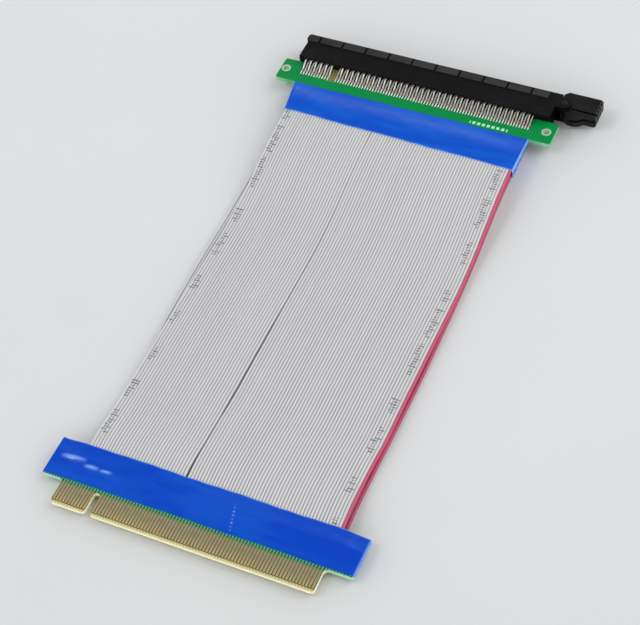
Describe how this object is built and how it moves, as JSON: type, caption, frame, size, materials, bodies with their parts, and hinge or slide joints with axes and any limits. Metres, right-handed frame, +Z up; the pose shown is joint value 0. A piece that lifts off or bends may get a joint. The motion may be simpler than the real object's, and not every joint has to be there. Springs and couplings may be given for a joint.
{
  "type": "pcie extension cable",
  "caption": "Flat ribbon extension cable: a keyed edge plug with gold fingers at one end, a card slot with a hinged latch at the other, grey ribbons and blue tape between.",
  "frame": {"origin": "on the table under the middle of the whole lead's box", "axes": "+X along both connectors towards the latch, +Y along the lead from the plug to the mouth of the slot, +Z up from the table"},
  "size_m": [0.1106, 0.2038, 0.0075],
  "materials": {
    "board_green": "solder mask on glass-fibre laminate, bare laminate on the tongue",
    "finger_gold": "gold plate on copper",
    "contact_tin": "tinned metal",
    "ribbon_grey": "grey flexible insulation with one red edge wire",
    "tape_blue": "blue plastic film",
    "slot_black": "satin moulded plastic"
  },
  "bodies": {
    "lead": {"plug_board": "board_green", "plug_fingers_top": "finger_gold", "plug_fingers_bottom": "finger_gold", "ribbon_top_left": "ribbon_grey", "ribbon_top_right": "ribbon_grey", "ribbon_bottom_left": "ribbon_grey", "ribbon_bottom_right": "ribbon_grey", "plug_tape_top": "tape_blue", "plug_tape_bottom": "tape_blue", "socket_tape_top": "tape_blue", "socket_tape_bottom": "tape_blue", "socket_board": "board_green", "hole_plating": "contact_tin", "slot_housing": "slot_black", "contacts_top_outer": "contact_tin", "contacts_top_inner": "contact_tin", "contacts_bottom_inner": "contact_tin", "contacts_bottom_outer": "contact_tin"},
    "latch": {"card_latch": "slot_black"}
  },
  "joints": [
    {"name": "latch_hinge", "type": "hinge", "parent": "lead", "child": "latch", "pos_m": [0.0438, 0.096, 0.00375], "axis": [0, 0, -1], "range_deg": [0, 22]}
  ]
}
